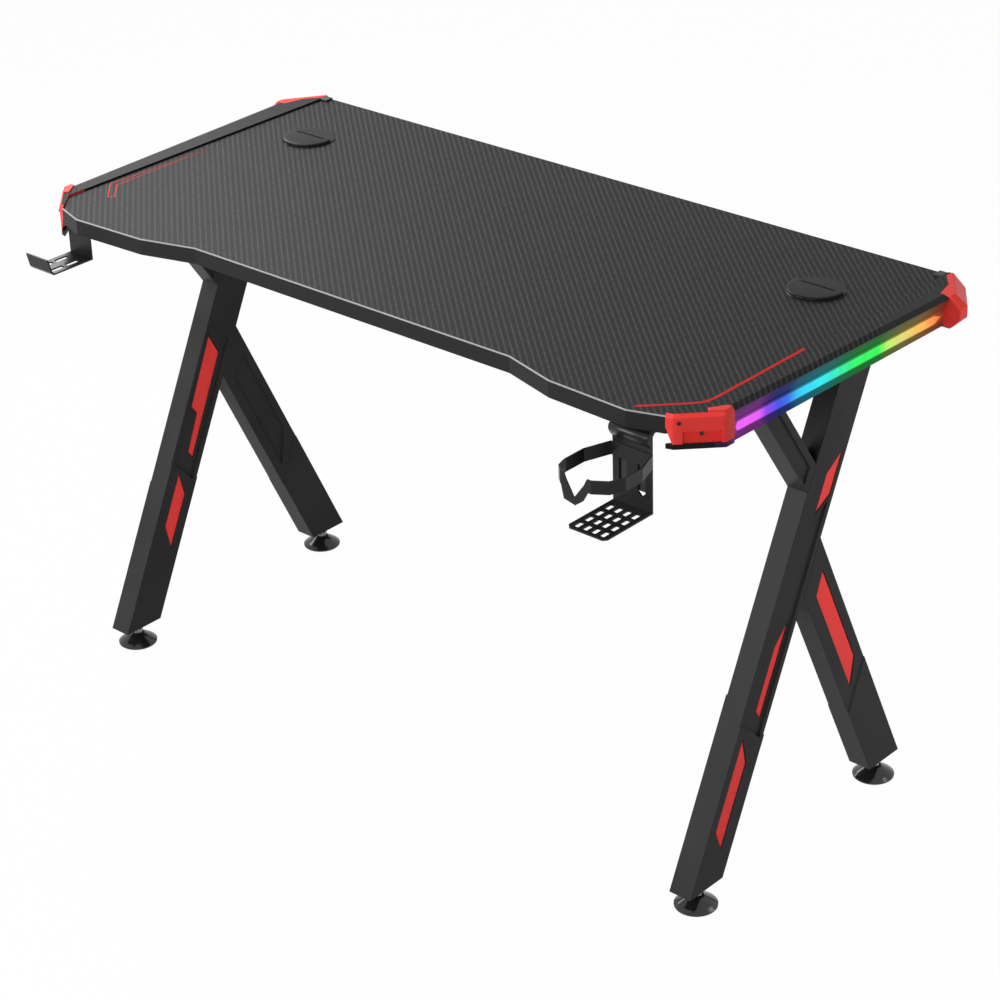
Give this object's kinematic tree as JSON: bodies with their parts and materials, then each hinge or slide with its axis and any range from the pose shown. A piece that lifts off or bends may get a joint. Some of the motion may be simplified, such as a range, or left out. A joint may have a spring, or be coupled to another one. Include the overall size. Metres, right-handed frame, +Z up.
{
  "type": "gaming desk",
  "caption": "Gaming desk with a contoured black board, lit side rails, red corner caps, crossed steel leg frames, cable grommets, cup holder and headphone hook.",
  "frame": {"origin": "on the floor, under the middle of the whole desk's bounding box", "axes": "+X to the sitter's right, +Y to the rear, +Z up"},
  "size_m": [1.29, 0.682, 0.7553],
  "materials": {
    "board_laminate": "fibreboard under a satin dark grey woven-look laminate with black edge band",
    "black_plastic": "fine matt black moulded plastic",
    "light_diffuser": "milky translucent light diffuser",
    "led_strip": "white circuit strip with light emitting diodes",
    "red_plastic": "satin red moulded plastic",
    "red_inlay": "matt red inlay strip",
    "black_steel": "black powder coat on steel",
    "foot_pad": "glossy black plastic pad",
    "stud_steel": "dark zinc plated threaded steel",
    "screw_steel": "black oxide steel",
    "button_rubber": "soft touch rubber"
  },
  "bodies": {
    "desk": {"desktop_board": "board_laminate", "side_rail_left": "black_plastic", "side_rail_right": "black_plastic", "grommet_sleeve_left": "black_plastic", "grommet_sleeve_right": "black_plastic", "foot_plug_front_left": "black_plastic", "foot_plug_front_right": "black_plastic", "foot_plug_rear_left": "black_plastic", "foot_plug_rear_right": "black_plastic", "controller_box": "black_plastic", "light_diffuser_left": "light_diffuser", "light_diffuser_right": "light_diffuser", "led_strip_left": "led_strip", "led_strip_right": "led_strip", "front_cap_left": "red_plastic", "front_cap_right": "red_plastic", "rear_cap_left": "red_plastic", "rear_cap_right": "red_plastic", "leg_inlays_left": "red_inlay", "leg_inlays_right": "red_inlay", "long_leg_left": "black_steel", "long_leg_right": "black_steel", "rear_leg_left": "black_steel", "rear_leg_right": "black_steel", "front_strut_left": "black_steel", "front_strut_right": "black_steel", "top_plate_left": "black_steel", "top_plate_right": "black_steel", "front_crossbar": "black_steel", "rear_crossbar": "black_steel", "cup_bracket": "black_steel", "cup_ring": "black_steel", "headphone_hook": "black_steel", "rail_screws": "screw_steel", "top_plate_screws": "screw_steel", "crossbar_screws": "screw_steel", "cup_screws": "screw_steel", "hook_screws": "screw_steel", "controller_screws": "screw_steel"},
    "lid_left": {"grommet_lid_left": "black_plastic"},
    "lid_right": {"grommet_lid_right": "black_plastic"},
    "pad_front_left": {"foot_pad_front_left": "foot_pad"},
    "stud_front_left": {"foot_stud_front_left": "stud_steel"},
    "pad_front_right": {"foot_pad_front_right": "foot_pad"},
    "stud_front_right": {"foot_stud_front_right": "stud_steel"},
    "pad_rear_left": {"foot_pad_rear_left": "foot_pad"},
    "stud_rear_left": {"foot_stud_rear_left": "stud_steel"},
    "pad_rear_right": {"foot_pad_rear_right": "foot_pad"},
    "stud_rear_right": {"foot_stud_rear_right": "stud_steel"},
    "button": {"controller_button": "button_rubber"}
  },
  "joints": [
    {"name": "lid_turn_left", "type": "hinge", "parent": "desk", "child": "lid_left", "pos_m": [-0.474, 0.189, 0.752], "axis": [0, 0, 1], "range_deg": [0, 180]},
    {"name": "lid_turn_right", "type": "hinge", "parent": "desk", "child": "lid_right", "pos_m": [0.474, 0.189, 0.752], "axis": [0, 0, 1], "range_deg": [0, 180]},
    {"name": "foot_extend_front_left", "type": "slide", "parent": "desk", "child": "pad_front_left", "axis": [0, 0, -1], "range_m": [0, 0.0105]},
    {"name": "stud_turn_front_left", "type": "hinge", "parent": "pad_front_left", "child": "stud_front_left", "pos_m": [-0.558, -0.172, 0.02], "axis": [0, 0, 1], "range_deg": [0, 2880]},
    {"name": "foot_extend_front_right", "type": "slide", "parent": "desk", "child": "pad_front_right", "axis": [0, 0, -1], "range_m": [0, 0.0105]},
    {"name": "stud_turn_front_right", "type": "hinge", "parent": "pad_front_right", "child": "stud_front_right", "pos_m": [0.558, -0.172, 0.02], "axis": [0, 0, 1], "range_deg": [0, 2880]},
    {"name": "foot_extend_rear_left", "type": "slide", "parent": "desk", "child": "pad_rear_left", "axis": [0, 0, -1], "range_m": [0, 0.0105]},
    {"name": "stud_turn_rear_left", "type": "hinge", "parent": "pad_rear_left", "child": "stud_rear_left", "pos_m": [-0.558, 0.239, 0.02], "axis": [0, 0, 1], "range_deg": [0, 2880]},
    {"name": "foot_extend_rear_right", "type": "slide", "parent": "desk", "child": "pad_rear_right", "axis": [0, 0, -1], "range_m": [0, 0.0105]},
    {"name": "stud_turn_rear_right", "type": "hinge", "parent": "pad_rear_right", "child": "stud_rear_right", "pos_m": [0.558, 0.239, 0.02], "axis": [0, 0, 1], "range_deg": [0, 2880]},
    {"name": "button_press", "type": "slide", "parent": "desk", "child": "button", "axis": [0, 1, 0], "range_m": [0, 0.0015], "stiffness_N_per_m": 300}
  ],
  "couplings": [
    {"joint": "foot_extend_front_left", "follows": "stud_turn_front_left", "m_per_rad": 0.00019894},
    {"joint": "foot_extend_front_right", "follows": "stud_turn_front_right", "m_per_rad": 0.00019894},
    {"joint": "foot_extend_rear_left", "follows": "stud_turn_rear_left", "m_per_rad": 0.00019894},
    {"joint": "foot_extend_rear_right", "follows": "stud_turn_rear_right", "m_per_rad": 0.00019894}
  ]
}
